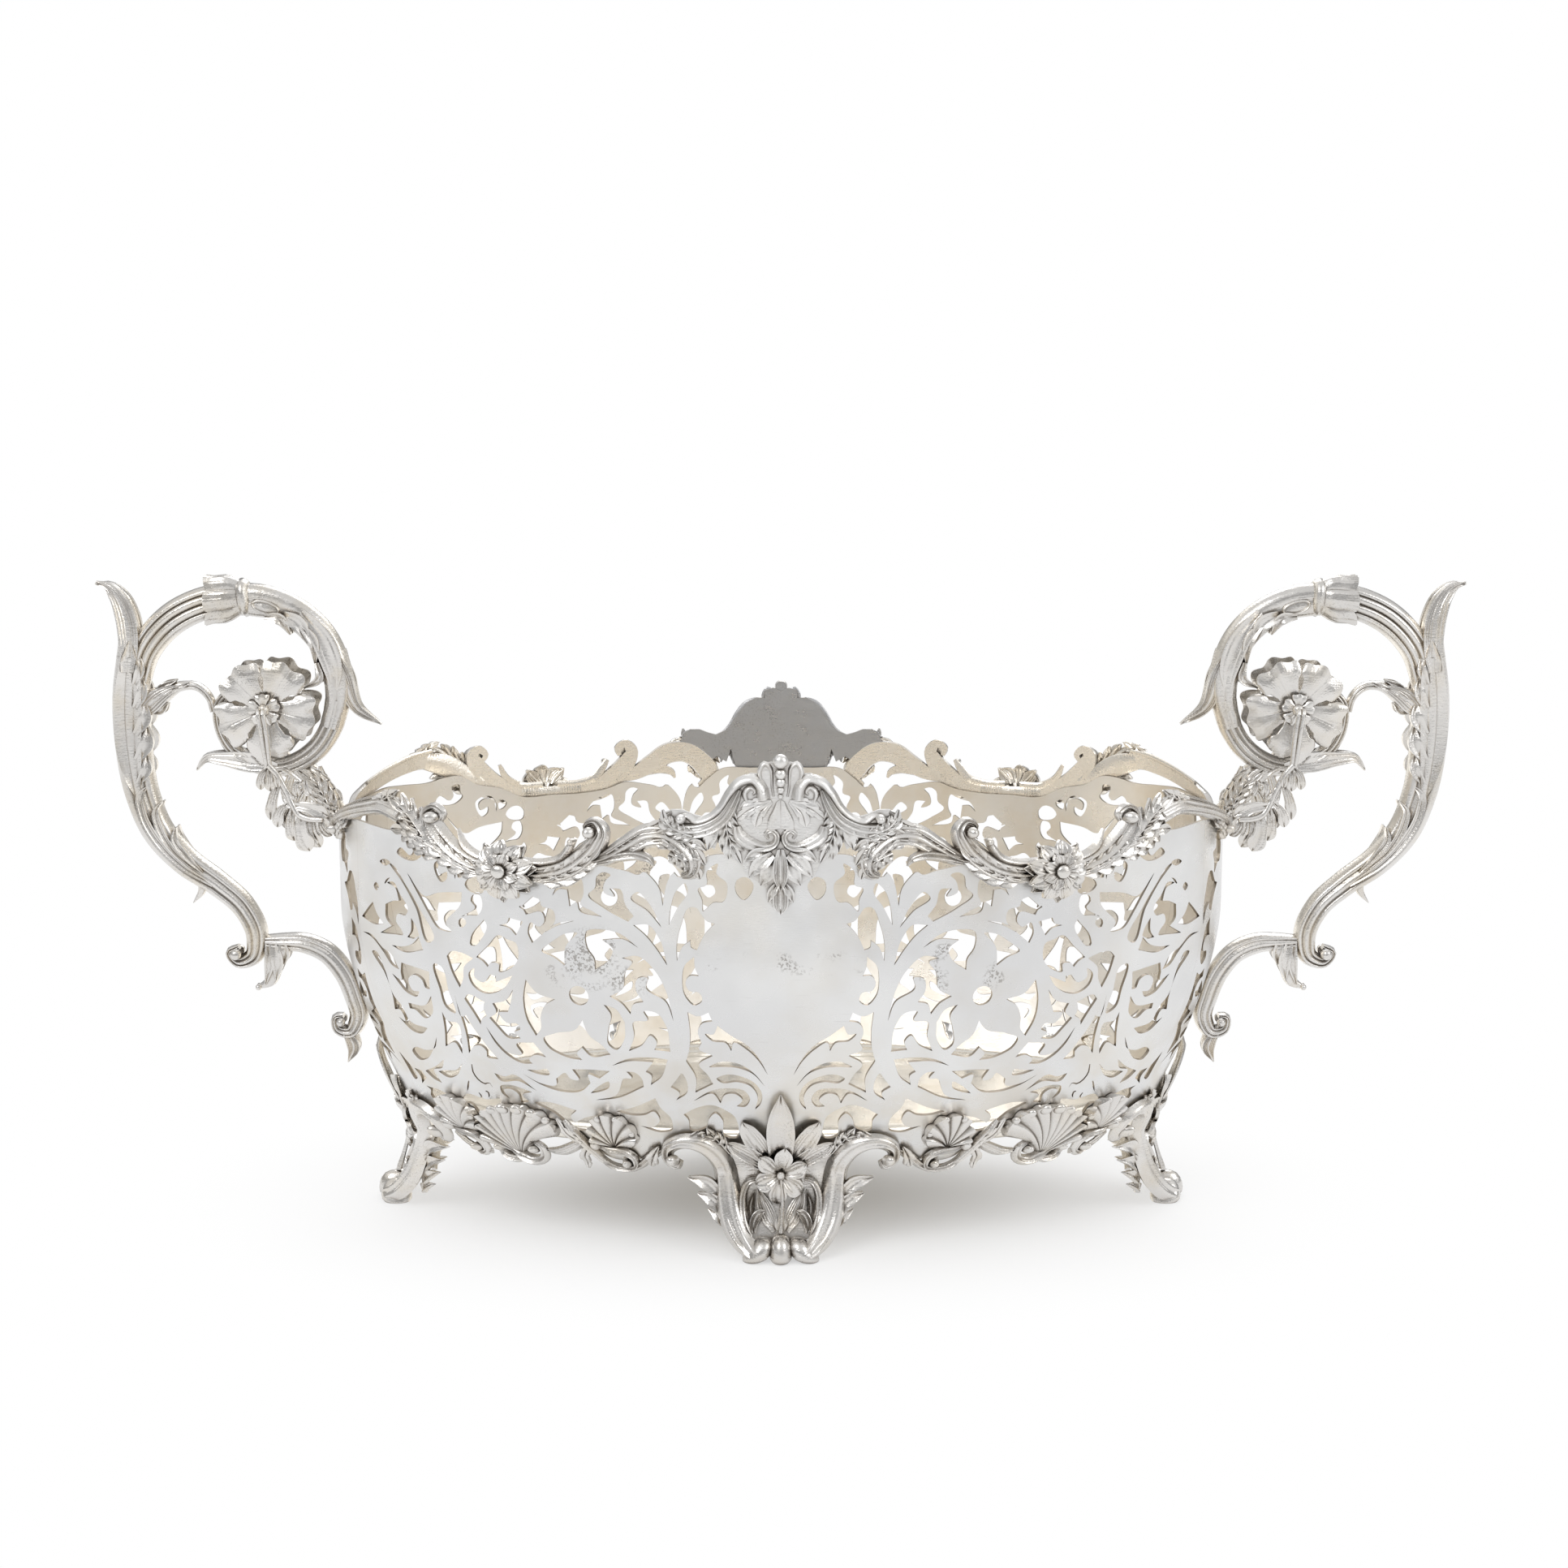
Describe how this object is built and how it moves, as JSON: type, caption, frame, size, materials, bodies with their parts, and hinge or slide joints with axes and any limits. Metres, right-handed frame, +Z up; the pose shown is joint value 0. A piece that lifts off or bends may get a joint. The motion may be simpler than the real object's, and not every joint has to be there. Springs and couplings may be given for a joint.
{
  "type": "centrepiece bowl",
  "caption": "Oval pierced silver centrepiece bowl on scroll feet, with tall scroll handles, for flowers or fruit on a table.",
  "frame": {"origin": "on the floor plane, under the middle of the bowl", "axes": "+X along the bowl towards the right handle, +Y towards the back, +Z up"},
  "size_m": [0.5694, 0.2146, 0.2682],
  "materials": {
    "wall_silver": "polished silver",
    "cast_silver": "cast and chased silver",
    "plate_silver": "satin silver with warm tarnish"
  },
  "bodies": {
    "root": {"wall_front": "wall_silver", "wall_back": "wall_silver", "wall_right_end": "wall_silver", "wall_left_end": "wall_silver", "floor_plate": "plate_silver", "cartouche_front": "cast_silver", "cartouche_back": "cast_silver", "rim_scroll_front_left": "cast_silver", "rim_scroll_front_right": "cast_silver", "rim_scroll_back_left": "cast_silver", "rim_scroll_back_right": "cast_silver", "rim_flower_front_left": "wall_silver", "rim_flower_front_right": "wall_silver", "rim_flower_back_left": "wall_silver", "rim_flower_back_right": "wall_silver", "base_moulding_front_left": "cast_silver", "base_moulding_front_right": "cast_silver", "base_moulding_back_left": "cast_silver", "base_moulding_back_right": "cast_silver", "base_end_moulding_front_left": "cast_silver", "base_end_moulding_front_right": "cast_silver", "base_end_moulding_back_left": "cast_silver", "base_end_moulding_back_right": "cast_silver", "shell_by_front_front_left": "wall_silver", "shell_by_front_front_right": "wall_silver", "shell_by_front_back_left": "wall_silver", "shell_by_front_back_right": "wall_silver", "fan_shell_front_left": "wall_silver", "fan_shell_front_right": "wall_silver", "fan_shell_back_left": "wall_silver", "fan_shell_back_right": "wall_silver", "shell_by_end_front_left": "wall_silver", "shell_by_end_front_right": "wall_silver", "shell_by_end_back_left": "wall_silver", "shell_by_end_back_right": "wall_silver", "foot_front": "cast_silver", "foot_back": "cast_silver", "foot_right": "cast_silver", "foot_left": "cast_silver", "foot_spray_front": "wall_silver", "foot_spray_back": "wall_silver", "foot_spray_right": "wall_silver", "foot_spray_left": "wall_silver", "handle_scroll_left": "cast_silver", "handle_scroll_right": "cast_silver", "handle_collar_left": "wall_silver", "handle_collar_right": "wall_silver", "handle_bracket_left": "cast_silver", "handle_bracket_right": "cast_silver", "rim_saddle_left": "wall_silver", "rim_saddle_right": "wall_silver", "handle_flower_front_left": "wall_silver", "handle_flower_front_right": "wall_silver", "handle_flower_back_left": "wall_silver", "handle_flower_back_right": "wall_silver", "garland_front_left": "wall_silver", "garland_front_right": "wall_silver", "garland_back_left": "wall_silver", "garland_back_right": "wall_silver"}
  },
  "joints": []
}
